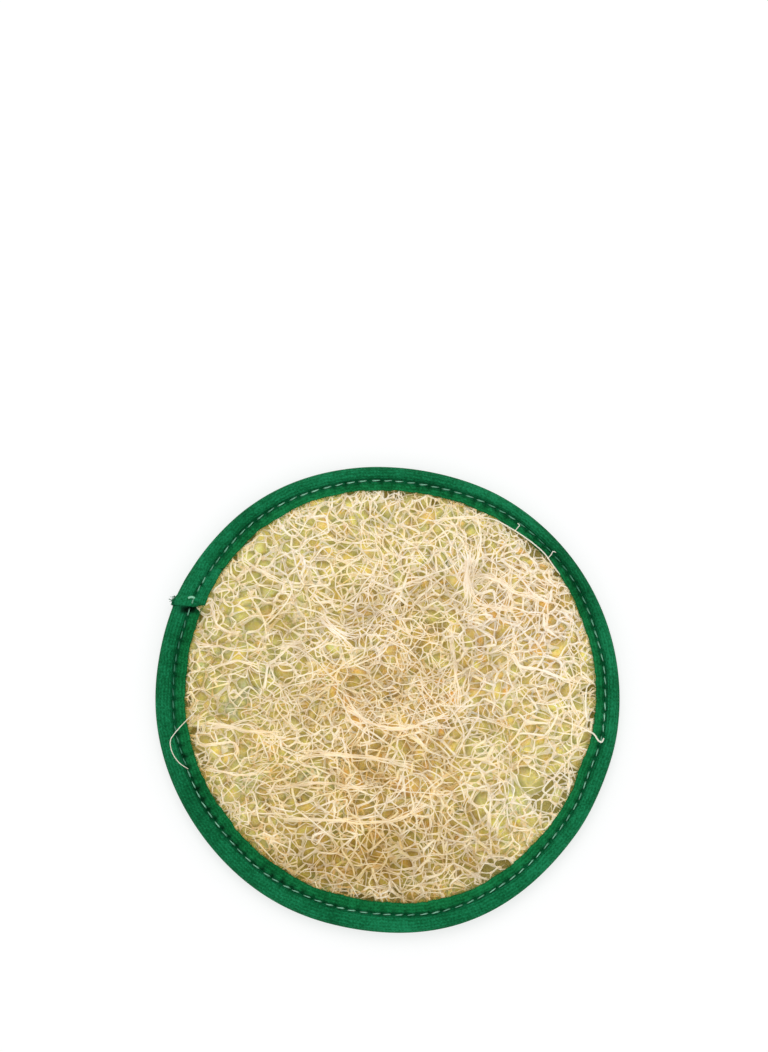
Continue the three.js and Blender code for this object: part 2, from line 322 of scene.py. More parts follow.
def makeStudio():
    scene = bpy.context.scene
    wide, tall = view["picture"]
    cx, cy = view["centreAt"]
    perMm = view["pixelsPerMm"]
    camera = bpy.data.cameras.new("camera")
    camera.sensor_fit = "VERTICAL"
    camera.sensor_height = view["sensor"]
    camera.lens = view["sensor"] * view["away"] / (tall / perMm)
    camera.clip_end = view["farthest"]
    eye = bpy.data.objects.new("camera", camera)
    eye.location = Vector(((wide / 2 - cx) / perMm, (cy - tall / 2) / perMm, view["away"])) * mm
    scene.collection.objects.link(eye)
    scene.camera = eye

    corners = np.array([(-1, -1, 0), (1, -1, 0), (1, 1, 0), (-1, 1, 0)]) * studio["reach"] * mm
    data = bpy.data.meshes.new("floor")
    data.from_pydata(corners.tolist(), [], [(0, 1, 2, 3)])
    floor = bpy.data.objects.new("floor", data)
    scene.collection.objects.link(floor)
    finish(
        "floorPaper",
        [floor],
        lambda wire: {},
        Base_Color=(*studio["floor"], 1),
        Roughness=0.9,
        Emission_Color=(1, 1, 1, 1),
        Emission_Strength=studio["floorGlow"],
    )
    for name in ("key", "fill"):
        spec = studio[name]
        data = bpy.data.lights.new(name, "AREA")
        data.shape = "DISK"
        data.size = spec["size"] * mm
        data.energy = spec["watts"]
        lamp = bpy.data.objects.new(name, data)
        lamp.location = Vector(spec["at"]) * mm
        lamp.rotation_euler = Vector(spec["at"]).to_track_quat("Z", "Y").to_euler()
        scene.collection.objects.link(lamp)
    world = bpy.data.worlds.new("studio")
    world.use_nodes = True
    sky = world.node_tree.nodes["Background"]
    sky.inputs["Color"].default_value = (1, 1, 1, 1)
    sky.inputs["Strength"].default_value = studio["world"]
    scene.world = world
    scene.view_settings.view_transform = "Standard"
    scene.view_settings.look = "None"
    scene.cycles.max_bounces = studio["bounces"]
    scene.cycles.diffuse_bounces = studio["bounces"]


makeStudio()
print("camera, floor and light")


foam = {
    "edge": (2.5, 3.3),  # heights of the back and of the face
    "middle": (0.55, 3.7),
    "inset": 2.0,
    "rows": 50,
    "columns": 342,
    "pole": 0.004,
    "thins": (8, 9),  # starts so far inside the rim, and takes so long
    "free": (8.5, 4),
    "pucker": 0.22,
    "deepest": -0.45,
    "swell": 0.12,
    "colour": (0.60, 0.53, 0.17),
    "poreShade": (0.46, 0.38, 0.1),
    "faded": (0.66, 0.6, 0.25),
}


def makeFoam():
    # a lens: share runs from the middle to the rim and the two faces close at its edge. The height is a
    # smooth step from the middle's to the edge's, with low swells and, near the tape, a pucker at
    # every second stitch
    share = np.linspace(foam["pole"], 1, foam["rows"])[:, None] ** 0.8
    angle = (turn * np.arange(foam["columns"]) / foam["columns"])[None, :]
    x, y = fromRim(angle, foam["inset"])
    x, y = x * share, rim["centreY"] + (y - rim["centreY"]) * share
    inwards = toRim(x, y)[1]
    out, free = (smooth((inwards - start) / over) for start, over in (foam["thins"], foam["free"]))
    out = 1 - out
    pucker = np.cos(angle * tape["stitches"] / 2) * out * free * foam["pucker"]
    swell = foam["swell"] * free * waves(x, y, 7, 3)
    top = mix(foam["middle"][1], foam["edge"][1], out) + swell
    back = mix(foam["middle"][0], foam["edge"][0], out) + np.maximum(foam["deepest"], pucker + swell)
    upper = np.stack([x, y, top], -1)
    lower = np.stack([x, y, back], -1)[::-1]
    sheetPoints = np.concatenate([upper, lower]).reshape(-1, 3)
    rows, columns = 2 * foam["rows"], foam["columns"]
    side = gridFaces(rows, columns, closedColumns=True)
    poles = np.array([upper[0].mean(0), lower[-1].mean(0)])
    firstRing = np.arange(columns)
    lastRing = (rows - 1) * columns + firstRing
    topCap = np.stack([np.full(columns, rows * columns), firstRing, np.roll(firstRing, -1)], -1)
    backCap = np.stack([np.full(columns, rows * columns + 1), np.roll(lastRing, -1), lastRing], -1)
    points = np.concatenate([sheetPoints, poles])
    piece = putMesh("foamSheet", points, [side, topCap, backCap])
    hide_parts("foam_sheet")

    def paint(wire):
        patch = wire.noise(60.0, 4.0)
        speck = wire.noise(900.0, 2.0)
        # painted shade: the foam is darker towards the middle of each pore, in its hollow
        depth = (wire.cells("SMOOTH_F1", 1500.0, Smoothness=0.4) * 1.6).clamped()
        colour = wire.blend((*foam["poreShade"], 1), (*foam["colour"], 1), depth)
        colour = wire.blend(colour, (*foam["faded"], 1), (patch * 1.6 - 0.55).clamped())
        return {"Base Color": colour, "Normal": wire.raised(depth + speck * 0.4, 0.6, 0.0004)}

    finish("foam", [piece], paint, Roughness=0.95, Specular_IOR_Level=0.2)


makeFoam()
print("foam")


# the face of the loofah mat, which the nets, bundles and long fibres follow
mat = {
    "edgeTop": 4.8,
    "shoulder": 9.1,
    "crown": 10.3,
    "shoulderFrom": -1.6,
    "shoulderReach": 4.6,
}


def matTop(x, y):
    # height of the mat's face: low under the tape, up a smooth shoulder, then a shallow crown
    angle, inwards = toRim(x, y)
    rise = smooth((inwards - tapeFace(angle) - mat["shoulderFrom"]) / mat["shoulderReach"])
    crown = smooth(inwards / rim["radius"])
    return mix(mat["edgeTop"], mix(mat["shoulder"], mat["crown"], crown), rise)


# parts of the mat: the place at the middle of each, and its reach along x and y
regions = {
    "openLow": ((-2, -46), (34, 17)),  # the net is open and brown behind
    "openLeft": ((-38, 30), (22, 24)),  # the cells are large and yellow green behind
    "upperRight": ((46, 28), (16, 18)),  # the fibres are thick and nearly white, the gaps orange brown
    "brown": ((-6, -30), (30, 28)),
    "orange": ((2, -8), (30, 46)),
    "paleRidge": ((-16.5, 23), (7, 7)),
}


def region(name, x, y):
    # 1 at the middle of a part, falling off as a bell
    (atX, atY), (reachX, reachY) = regions[name]
    return np.exp(-(((x - atX) / reachX) ** 2) - ((y - atY) / reachY) ** 2)


def openRight(x, y):
    # 1 on the right below the upper corner, where the net is open and pale
    return smooth((x - 14) / 12) * smooth((26 - y) / 16)


def matTone(x, y, draw):
    # 0 brown to 1 pale cream: broad patches and browner low in the middle; paler towards the top and the
    #                          right, which is painted light; and browner along the tape's inner edge, which
    #                          is painted shade
    angle, inwards = toRim(x, y)
    # painted shade: browner where the tape's inner edge overhangs the mat
    edge = np.exp(-(((inwards - tapeFace(angle)) / 1.1) ** 2))
    # the y and x terms here and the smooth x term below are painted light, paler towards the top and right
    broad = 0.1 * waves(x, y, 26, 41) + 0.07 * waves(x, y, 9, 42) + 0.0016 * y + 0.0006 * x
    broad = broad + 0.16 * region("upperRight", x, y) - 0.1 * region("brown", x, y)
    return 0.68 + broad + 0.06 * smooth((x - 12) / 20) - 0.22 * edge + draw


def matShade(x, y):
    # painted light and shade: the fibre is brightest at the top and right and darkest at the bottom, and
    # brighter and darker in patches
    # painted light towards the top and right, painted shade towards the bottom
    light = 0.14 * smooth((y - 34) / 22) + 0.17 * smooth((x - 32) / 18) - 0.2 * smooth((-30 - y) / 30)
    patches = 0.08 * waves(x, y, 20, 45) + 0.1 * waves(x, y, 7.5, 46)
    return np.clip(0.95 + light + patches, 0.4, 1.12)


def putFibre(name, points, faces, tone, dimming=0.0):
    # the shade is the painted light and shade of matShade, less any dimming
    values = {"tone": tone, "shade": matShade(points[:, 0], points[:, 1]) - dimming}
    return putMesh(name, points, faces, values=values)


# grey-green places, at x and y with a reach
sagePatches = [
    (-27.7, -25.4, 3.5),
    (-44.5, -26.5, 3),
    (30.6, -15.4, 3.5),
    (-50.5, -2.4, 2.5),
    (42, -33, 4),
    (-46, 4, 3),
]


def backTone(x, y, draw):
    # the films between the fibres: -0.2 sage, 0 olive yellow, 0.19 orange brown
    sage = sum(0.25 * np.exp(-((x - a) ** 2 + (y - b) ** 2) / size**2) for a, b, size in sagePatches)
    warm = 0.14 * region("orange", x, y) + 0.16 * region("upperRight", x, y)
    each = 0.12 * waves(x, y, 5, 43) + draw.normal(0, 0.04, len(x))
    return np.clip(warm + each - 0.05 * region("openLeft", x, y) - sage, -0.2, 0.19)


# each layer: mean cell, fibre thickness, depth below the face, unevenness, stretch along x, share of
# strands left out, share of junctions that carry a web and of cells that carry a film, the sides and
# rings of a strand, and how much paler it is
layerKeys = "name seed cell fibre depth relief stretch drop webs films sides rings tone".split()
netLayers = [dict(zip(layerKeys, row)) for row in (
    ("netBack", 21, 4.0, 0.6, 1.15, 0.28, 1.0, 0.0, 0.5, 1.0, 3, 4, -0.22),
    ("netMiddle", 24, 2.8, 0.4, 1.25, 0.25, 1.0, 0.2, 0.9, 0.14, 3, 4, -0.17),
    ("netBraces", 23, 4.0, 0.5, 0.9, 0.3, 1.05, 0.14, 1.0, 0.06, 4, 7, -0.08),
    ("netFace", 25, 3.5, 0.42, 0.45, 0.35, 1.05, 0.16, 1.0, 0.0, 5, 7, 0.04),
    ("netRidges", 26, 5.6, 0.46, 0.25, 0.25, 1.1, 0.34, 1.0, 0.0, 5, 8, 0.12),
)]
netShape = {
    "crowding": 0.87,
    "pastSeam": 0.8,
    "shake": 0.34,
    "thinned": 0.45,
    "opened": 0.28,
    "stouter": 0.1,
    "warp": 0.55,
    "flow": 0.42,
    "branch": 0.4,
    "bow": 0.1,
    "reach": 0.8,
    "freeEnd": 0.3,
    "uneven": 0.32,
    "strandUneven": 0.15,
    "flare": 0.8,
    "web": 0.43,
    "flat": 0.5,
}


def cellJoints(corners, triangles, cell):
    # a joint for each triangle: from its middle towards the centre of the circle round it, held short
    a, b, c = (corners[triangles[:, k]] for k in range(3))
    b, c = b - a, c - a
    area = 2 * (b[:, 0] * c[:, 1] - b[:, 1] * c[:, 0])
    area = np.where(np.abs(area) < 1e-6, 1e-6, area)[:, None]
    bb, cc = (b**2).sum(1), (c**2).sum(1)
    circle = np.stack([c[:, 1] * bb - b[:, 1] * cc, b[:, 0] * cc - c[:, 0] * bb], -1) / area
    middle = (b + c) / 3
    away = circle - middle
    far = np.linalg.norm(away, axis=1, keepdims=True)
    return a + middle + away * np.minimum(0.8, 0.9 * cell / np.maximum(far, 1e-9))


def sharedSides(triangles, count):
    # each side that two triangles share: the pair of triangles, and the pair of seeds at its ends
    sides = np.sort(np.concatenate([triangles[:, pair] for pair in ([0, 1], [1, 2], [2, 0])]), axis=1)
    order = np.argsort(sides[:, 0] * count + sides[:, 1], kind="stable")
    sides, owner = sides[order], np.tile(np.arange(len(triangles)), 3)[order]
    same = (sides[1:] == sides[:-1]).all(1)
    return np.stack([owner[:-1][same], owner[1:][same]], -1), sides[:-1][same]


def netStrands(layer):
    # Seeds on a sunflower spiral, shaken and carried by waves; a strand crosses each side that two
    # triangles between the seeds share, from the middle of one to the middle of the other
    draw = np.random.default_rng(layer["seed"])
    cell, stretch = layer["cell"], layer["stretch"]
    reach = rim["radius"] + cell
    count = int(math.pi * reach**2 / (netShape["crowding"] * cell**2) / stretch)
    index = np.arange(count) + 0.5
    radius, heading = reach * np.sqrt(index / count), index * math.pi * (3 - math.sqrt(5))
    seeds = np.stack([radius * np.cos(heading), radius * np.sin(heading)], -1)
    seeds += draw.normal(0, netShape["shake"] * cell * math.sqrt(stretch), seeds.shape)
    x, y = seeds.T
    thin = netShape["thinned"] * np.clip(waves(x, y, 19, layer["seed"] + 90) + 0.25, 0, 1)
    open = np.maximum.reduce([region("openLow", x, y), openRight(x, y), region("openLeft", x, y)])
    seeds = seeds[draw.random(count) > thin + netShape["opened"] * open]
    squeeze = np.array([1 / math.sqrt(stretch), math.sqrt(stretch)])
    found = delaunay_2d_cdt([Vector(p) for p in seeds * squeeze], [], [], 0, 1e-6)
    flat = np.array([tuple(v) for v in found[0]])
    triangles = np.array([f for f in found[2] if len(f) == 3])
    joints = cellJoints(flat, triangles, cell) / squeeze
    strands, cells = sharedSides(triangles, len(flat))
    x, y = joints.T
    size = 16 + 2 * cell
    drift = np.stack([waves(x, y, size, layer["seed"] + more) for more in (50, 70)], -1)
    joints = joints + netShape["warp"] * cell * drift
    angle, inwards = toRim(*joints.T)
    hidden = tapeFace(angle) * tape["stitchShare"] + netShape["pastSeam"]
    inside = (inwards > hidden)[strands].all(1)
    sparse = layer["drop"] * (1 + 1.2 * smooth((-30 - joints[strands[:, 0], 0]) / 14))
    kept = inside & (draw.random(len(strands)) > sparse)
    return joints, strands, kept, cells, len(seeds), inside, draw


def strandEnds(points, strands):
    # At each junction the straightest pair of strands runs through as one line, and the third leans
    # into it. Gives the way in which each strand leaves each end, and which ends meet at each junction
    count = len(points)
    joint = strands.T.ravel()
    other = strands[:, ::-1].T.ravel()
    away = unit(points[other] - points[joint])
    order = np.argsort(joint, kind="stable")
    sortedJoint = joint[order]
    slot = np.arange(len(joint)) - np.searchsorted(sortedJoint, sortedJoint)
    table = np.full((count, 3), -1)
    table[sortedJoint, np.minimum(slot, 2)] = order
    have = table >= 0
    ways = np.where(have[..., None], away[table], 0)
    pairs = np.array([[0, 1, 2], [0, 2, 1], [1, 2, 0]])
    i, j, _ = pairs.T
    bend = np.where(have[:, i] & have[:, j], (ways[:, i] * ways[:, j]).sum(-1), 2)
    rows = np.arange(count)
    i, j, k = pairs[bend.argmin(1)].T
    line = unit(ways[rows, i] - ways[rows, j])
    lean = ways[rows, k]
    towards = np.sign((lean * line).sum(-1, keepdims=True))
    out = ways.copy()
    paired = (bend.min(1) < 1.5)[:, None]
    out[rows, i] = np.where(paired, line, ways[rows, i])
    out[rows, j] = np.where(paired, -line, ways[rows, j])
    out[rows, k] = np.where(paired, unit(lean + netShape["branch"] * towards * line), lean)
    leaving = away.copy()
    leaving[table[have]] = out[have]
    leaving = unit(mix(away, leaving, netShape["flow"]))
    return leaving[: len(strands)], leaving[len(strands):], table


def webs(points, path, table, layer, draw):
    # A thin three-pointed web at a junction: its tips lie on the three strands, a short way out, and
    # its sides are drawn in between the tips. Two shallow cones of six faces close it
    full = (table >= 0).all(1) & (draw.random(len(table)) < layer["webs"])
    centre, ends = points[full], table[full]
    count, out = len(path), layer["rings"] // 3
    ring = np.where(ends < count, out, layer["rings"] - 1 - out)
    spoke = path[ends % count, ring] - centre[:, None]
    order = np.argsort(np.arctan2(spoke[..., 1], spoke[..., 0]), axis=1)
    spoke = np.take_along_axis(spoke, order[..., None], 1)
    deep = netShape["web"] * draw.uniform(0.7, 1.25, (len(spoke), 1, 1))
    valley = deep * (spoke + np.roll(spoke, -1, 1))
    ring = np.stack([spoke, valley], 2).reshape(-1, 6, 3) + centre[:, None]
    half = np.array([0, 0, layer["fibre"] * 0.3])
    shapes = np.concatenate([ring, (centre + half)[:, None], (centre - half)[:, None]], 1)
    return fans(shapes)


def fans(shapes):
    # closed lenses: each shape is a ring of points and then its upper and lower middle
    count, size = len(shapes), shapes.shape[1] - 2
    this = np.arange(size)
    after = (this + 1) % size
    upper = np.stack([this, after, np.full(size, size)], -1)
    lower = np.stack([after, this, np.full(size, size + 1)], -1)
    start = np.arange(count)[:, None, None] * (size + 2)
    return shapes.reshape(-1, 3), (start + np.concatenate([upper, lower])[None]).reshape(-1, 3)


def films(points, strands, cells, count, inside, layer, draw):
    # A papery film across a whole cell: each side of the cell is joined to the cell's middle, above and
    # below, and the middle sags
    pick = draw.random(count) < layer["films"]
    sides = np.concatenate([np.column_stack([strands, cells[:, k], inside]) for k in range(2)])
    total = np.bincount(sides[:, 2], minlength=count)
    within = np.bincount(sides[:, 2], weights=sides[:, 3], minlength=count)
    pick &= (total > 2) & (total == within)
    ends = points[sides[:, :2]].mean(1)
    sums = [np.bincount(sides[:, 2], weights=part, minlength=count) for part in ends.T]
    middle = np.stack(sums, -1) / np.maximum(total, 1)[:, None]
    sides = sides[pick[sides[:, 2]]]
    a, b, c = points[sides[:, 0]], points[sides[:, 1]], middle[sides[:, 2]]
    turned = ((a - c)[:, 0] * (b - c)[:, 1] - (a - c)[:, 1] * (b - c)[:, 0]) < 0
    first, second = np.where(turned[:, None], sides[:, 1::-1], sides[:, :2]).T
    used, place = np.unique(sides[:, 2], return_inverse=True)
    sag = 0.25 * draw.random((len(used), 1)) * [0, 0, 1.0]
    half = np.array([0, 0, 0.05])
    upper = len(points) + place
    lower = upper + len(used)
    shapes = np.concatenate([points, middle[used] - sag + half, middle[used] - sag - half])
    faces = np.concatenate([np.stack([first, second, upper], -1), np.stack([second, first, lower], -1)])
    kept, faces = np.unique(faces, return_inverse=True)
    return shapes[kept], faces.reshape(-1, 3)


def jointPoints(joints, layer, draw):
    # the joints at their height: below the mat's face by the layer's depth and relief, less by the tape
    x, y = joints.T
    top = matTop(x, y)
    body = (top - mat["edgeTop"]) / (mat["crown"] - mat["edgeTop"])
    depth = layer["depth"] * mix(0.35, 1, body) + layer["relief"] * body * (
        waves(x, y, 11, layer["seed"] + 5) + draw.normal(0, 0.35, len(x))
    )
    z = np.clip(top - depth, foam["middle"][1] + 0.15, top - 0.05)
    return np.stack([x, y, z], -1)


def strandPaths(points, strands, leave, arrive, layer, draw):
    # each strand's curve leaves and arrives along the ways of its ends, and bows a little sideways
    start, end = points[strands[:, 0]], points[strands[:, 1]]
    length = np.linalg.norm(end - start, axis=1, keepdims=True)
    chord = unit(end - start)
    bow = np.cross(chord, [0, 0, 1.0]) * draw.normal(0, netShape["bow"], (len(strands), 1))
    leave, arrive = (way * length * netShape["reach"] for way in (leave + bow, -arrive - bow))
    return curves(start, end, leave, arrive, layer["rings"])


def strandRadii(points, strands, path, meeting, layer, draw):
    # each strand's radius runs from one end's to the other's. It is stouter in the open parts, flares
    # where three strands meet and thins to a free end
    x, y = points[:, :2].T
    stout = layer["fibre"] / 2 * np.exp(draw.normal(0, netShape["uneven"], len(points)))
    stout = np.where(meeting == 1, netShape["freeEnd"], 1) * stout
    more = 2.5 * np.maximum(region("upperRight", x, y), region("openLeft", x, y))
    more = np.maximum(region("openLow", x, y), openRight(x, y)) + more
    stout = stout * (1 + netShape["stouter"] * more)
    t = np.linspace(0, 1, layer["rings"])[None, :]
    thick = mix(stout[strands[:, :1]], stout[strands[:, 1:]], t)
    thick = thick * np.exp(draw.normal(0, netShape["strandUneven"], (len(strands), 1)))
    joined = np.where(t < 0.5, (meeting == 3)[strands[:, :1]], (meeting == 3)[strands[:, 1:]])
    flare = 1 + netShape["flare"] * joined * np.abs(2 * t - 1) ** 5
    return thick * flare * (1 + 0.12 * waves(path[..., 0], path[..., 1], 3, 9))


def makeNet(layer):
    joints, strands, kept, cells, count, inside, draw = netStrands(layer)
    points = jointPoints(joints, layer, draw)
    filmPoints, filmFaces = films(points, strands, cells, count, inside, layer, draw)
    strands = strands[kept]
    meeting = np.bincount(strands.ravel(), minlength=len(points))
    points[:, 2] -= netShape["freeEnd"] * (meeting == 1)  # a strand that ends freely dips
    leave, arrive, table = strandEnds(points, strands)
    path = strandPaths(points, strands, leave, arrive, layer, draw)
    radius = strandRadii(points, strands, path, meeting, layer, draw)
    tubePoints, faces = tubes(path, radius, layer["sides"], flat=netShape["flat"], twist=0.6)
    webPoints, webFaces = webs(points, path, table, layer, draw)
    tone = matTone(path[..., 0], path[..., 1], draw.normal(0, 0.1, (len(strands), 1))) + layer["tone"]
    tone = np.repeat(tone.ravel(), layer["sides"])
    webTone = matTone(webPoints[:, 0], webPoints[:, 1], 0.06) + layer["tone"]
    filmX, filmY = filmPoints[:, 0], filmPoints[:, 1]
    filmTone = backTone(filmX, filmY, draw)
    # the films are painted darker at random, more in the open part low down and less on the right
    dimming = draw.uniform(0, 0.16, len(filmPoints)) + 0.32 * region("openLow", filmX, filmY)
    dimming = dimming - 0.16 * openRight(filmX, filmY)
    dimming = np.concatenate([np.zeros(len(tubePoints) + len(webPoints)), dimming])
    return putFibre(
        layer["name"],
        np.concatenate([tubePoints, webPoints, filmPoints]),
        faces + [webFaces + len(tubePoints), filmFaces + len(tubePoints) + len(webPoints)],
        np.concatenate([tone, webTone, filmTone]),
        dimming,
    )


fibrePieces = [makeNet(layer) for layer in netLayers]
print("nets")


def through(points, count):
    # a smooth curve through a few points, equal steps of the knots, (count, dimensions)
    points = np.asarray(points, float)
    ends = np.concatenate([[2 * points[0] - points[1]], points, [2 * points[-1] - points[-2]]])
    t = np.linspace(0, len(points) - 1, count)
    k = np.minimum(t.astype(int), len(points) - 2)
    t = (t - k)[:, None]
    a, b, c, d = (ends[k + n] for n in range(4))
    square, cube = a - 2.5 * b + 2 * c - d / 2, 1.5 * (b - c) + (d - a) / 2
    return b + t * (c - a) / 2 + t**2 * square + t**3 * cube


# bundles that stand out on the face: how many fibres, their spread, depth below the face, and the way
ridges = [
    (7, 0.95, 0.1, [(-32, -18.5), (-21.7, -17.2), (-12.1, -17.7), (-3.7, -18.5), (3.4, -20),
                    (12.1, -21.4)]),
    (5, 0.7, 0.2, [(-39, -36.5), (-28.2, -38.1), (-16.7, -38.4), (-8, -39.2), (0.5, -38.6), (7.8, -36),
                   (15, -32)]),
    (5, 0.6, 0.1, [(-13.8, -1.9), (-9, -5), (-4.6, -7.5), (0.6, -8.8), (8, -9.6)]),
    (3, 0.45, 0.2, [(-4.6, -8.2), (2, -9.5), (8, -8.6), (15, -5.9), (21, -4)]),
    (5, 1.5, 0.1, [(24.6, 50), (25.8, 44.9), (25.2, 39), (25.6, 33), (24.0, 28)]),
    (5, 1.8, 0.0, [(26.4, 48), (25.4, 42), (25.9, 37), (26.6, 32)]),
    (4, 0.9, 0.15, [(25.6, 38), (28.4, 32), (34.2, 29.7), (38.5, 29.2), (42, 29.8)]),
    (5, 1.2, 0.2, [(25.9, 37), (30, 39.5), (35, 38.6), (41, 34.8), (47, 33.4), (52, 33)]),
    (3, 0.8, 0.3, [(27.3, 58.8), (29.4, 54.5), (29.6, 49), (28.2, 43), (26.6, 39)]),
    (5, 0.7, 0.2, [(20.4, 24), (20.1, 17.6), (21.2, 14.7), (21.8, 10.5), (22.1, 6.1), (22.7, 2),
                   (21.5, -6)]),
    (4, 0.7, 0.1, [(35.6, 16), (40.4, 14), (42.7, 10.5), (48.5, 9.9), (52.8, 8.2), (57.1, 6.4), (62, 4.7)]),
    (3, 0.35, 0.1, [(-48, 46), (-44.3, 43.8), (-41, 41.8), (-36.2, 39.2), (-31.4, 36.6)]),
    (3, 0.4, 0.1, [(-46, 35.4), (-42.8, 31.4), (-40.8, 28), (-39.4, 24.8), (-39.1, 21.1), (-39.4, 17.9)]),
    (4, 0.45, 0.1, [(-56.9, 32.9), (-55.7, 27.7), (-54, 23.7), (-50.6, 22), (-46.5, 21.5)]),
    (4, 0.6, 0.15, [(-62.6, 19.9), (-59.2, 18.2), (-53.5, 17.3), (-49.1, 16.2), (-42, 17)]),
    (4, 0.45, 0.1, [(-59.2, 9.3), (-53.5, 11.3), (-49.1, 12.5), (-44.8, 12.2), (-39.1, 9.9)]),
    (3, 0.35, 0.1, [(-39.4, 11.1), (-35, 14), (-31.4, 17.3), (-26, 19.5)]),
    (6, 0.7, 0.1, [(-58.9, -8), (-50.6, -8.5), (-46.5, -9.7), (-41, -10.1), (-33, -11.4)]),
    (4, 0.5, 0.1, [(-62.2, -12.6), (-58.9, -14.2), (-54.7, -13.8), (-49.6, -13.6), (-48, -16),
                   (-49.1, -18.7)]),
    (4, 0.45, 0.1, [(-58.9, -22), (-54.7, -22.7), (-50.7, -23.2), (-47.6, -23.9), (-43.4, -23.5),
                    (-38, -20.5)]),
    (3, 0.35, 0.1, [(11.1, 49.1), (15.9, 52.3), (19.4, 54.3), (23.5, 51.7), (24.9, 48.3)]),
    (4, 0.6, 0.1, [(16.3, 57.2), (20.6, 58.3), (26.3, 58.6), (31, 59.3)]),
    (9, 1.9, 0.1, [(-22.5, 28.5), (-19.5, 24.6), (-15.5, 21.6), (-10, 18.2)]),
    (5, 0.7, 0.15, [(-40, -28.6), (-30, -27.4), (-20, -26.4), (-10, -28), (-2, -27)]),
]
bundle = {"rings": 40, "sides": 5, "radius": 0.19, "uneven": 0.22, "fan": 3.2, "dive": 1.5, "wander": 0.27}
loose = {
    "count": 170,
    "within": 65,  # each starts this near the middle
    "clear": 5,  # and is left out if it comes this near the rim
    "step": 1.05,
    "bend": 0.035,
    "sway": 0.13,
    "rings": 22,
    "sides": 4,
    "radius": 0.18,
    "uneven": 0.22,
}


def onMat(x, y, depth):
    return np.stack([x, y, matTop(x, y) - depth], -1)


def makeRidges():
    # a bundle of fibres that keep beside each other in the middle of the way and part at its ends
    draw = np.random.default_rng(61)
    rings, sides = bundle["rings"], bundle["sides"]
    t = np.linspace(-1, 1, rings)
    paths = []
    for count, spread, depth, way in ridges:
        line = through(way, rings)
        along = unit(np.gradient(line, axis=0))
        side = np.stack([-along[:, 1], along[:, 0]], -1)
        for share in np.linspace(-0.5, 0.5, count):
            off = spread * (share + draw.normal(0, 0.1)) * (0.75 + bundle["fan"] * np.abs(t) ** 3)
            off = off + bundle["wander"] * waves(line[:, 0], line[:, 1], 6, int(draw.integers(1e6)))
            x, y = (line + side * off[:, None]).T
            low = depth + 0.35 * np.abs(share) + bundle["dive"] * np.abs(t) ** 5 - 0.2
            paths.append(onMat(x, y, low + 0.12 * draw.normal()))
    path = np.stack(paths)
    thick = bundle["radius"] * np.exp(draw.normal(0, bundle["uneven"], len(path)))
    ends = 1 - 0.6 * np.abs(t) ** 5
    points, faces = tubes(path, thick[:, None] * ends[None, :], sides, flat=0.6)
    tone = matTone(path[..., 0], path[..., 1], draw.normal(0.12, 0.08, (len(path), 1)))
    tone = tone + 0.42 * region("paleRidge", path[..., 0], path[..., 1])
    return putFibre("ridges", points, faces, np.repeat(tone.ravel(), sides))


def makeLooseFibres():
    # long single fibres over the face. Each takes equal steps, and its heading drifts from mostly
    # across by the waves of the place
    draw = np.random.default_rng(71)
    count, rings, sides = loose["count"], loose["rings"], loose["sides"]
    radius = loose["within"] * np.sqrt(draw.random(count))
    around = draw.uniform(0, turn, count)
    x, y = radius * np.cos(around), radius * np.sin(around)
    upright = smooth((x - 10) / 12) * draw.random(count)
    heading = draw.normal(0, 0.5, count) + 1.35 * upright * draw.choice([-1, 1], count)
    steps = []
    bend = draw.normal(0, loose["bend"], count)
    for _ in range(rings):
        steps.append(np.stack([x, y], -1))
        heading = heading + bend + loose["sway"] * waves(x, y, 9, 72)
        x, y = x + loose["step"] * np.cos(heading), y + loose["step"] * np.sin(heading)
    way = np.stack(steps, 1)
    way = way[toRim(way[..., 0], way[..., 1])[1].min(1) > loose["clear"]]
    way = way - way.mean(1, keepdims=True) * 0.04
    x, y = way[..., 0], way[..., 1]
    t = np.linspace(-1, 1, rings)[None, :]
    depth = draw.uniform(-0.15, 0.9, (len(way), 1)) + 1.1 * np.abs(t) ** 5 + 0.25 * waves(x, y, 8, 73)
    path = onMat(x, y, depth)
    thick = loose["radius"] * np.exp(draw.normal(0, loose["uneven"], len(way)))
    points, faces = tubes(path, thick[:, None] * (1 - 0.4 * t**6), sides, flat=0.6)
    tone = matTone(x, y, draw.normal(0.16, 0.1, (len(path), 1)))
    return putFibre("looseFibres", points, faces, np.repeat(tone.ravel(), sides))


# single fibres that lie over the tape or along its inner edge, one by one: radius, then the way
strays = [
    (0.17, [(-61, -3, 9.2), (-65.2, -7.2, 8.6), (-68.4, -10.8, 7.7), (-69.7, -13.3, 7.4),
            (-69, -16.9, 7.4), (-66.8, -20.1, 7.6), (-63.9, -22, 8.4)]),
    (0.27, [(61, -8.2, 8.8), (65.1, -10.2, 8.2), (66.4, -11.1, 7.8), (67.6, -12.9, 7.5),
            (68.7, -13.4, 7.5), (69.4, -12.2, 7.7)]),
    (0.2, [(28.6, 58.9, 8.3), (34, 58, 8.3), (37.7, 56.2, 8.2), (42.2, 53.5, 8.1), (46.7, 50.3, 8.1),
           (50.3, 47.1, 8.1), (52.6, 43.9, 8.2), (55.3, 40.3, 8.3)]),
    (0.15, [(40.8, 54, 8), (41.6, 55.2, 8.2), (42.3, 56.1, 8.1), (41.7, 56.8, 8)]),
    (0.15, [(51.2, 45.4, 8), (52.4, 46.6, 8.2), (53.1, 47.7, 8.1), (54, 47.4, 7.9)]),
]


def makeStrays():
    rings = 26
    path = np.stack([through(way, rings) for _, way in strays])
    ends = 1 - 0.35 * np.linspace(-1, 1, rings) ** 6
    points, faces = tubes(path, np.array([radius for radius, _ in strays])[:, None] * ends, 6)
    return putFibre("strayFibres", points, faces, np.ones(len(points)))


fibrePieces += [makeRidges(), makeLooseFibres(), makeStrays()]
print("ridges and long fibres")


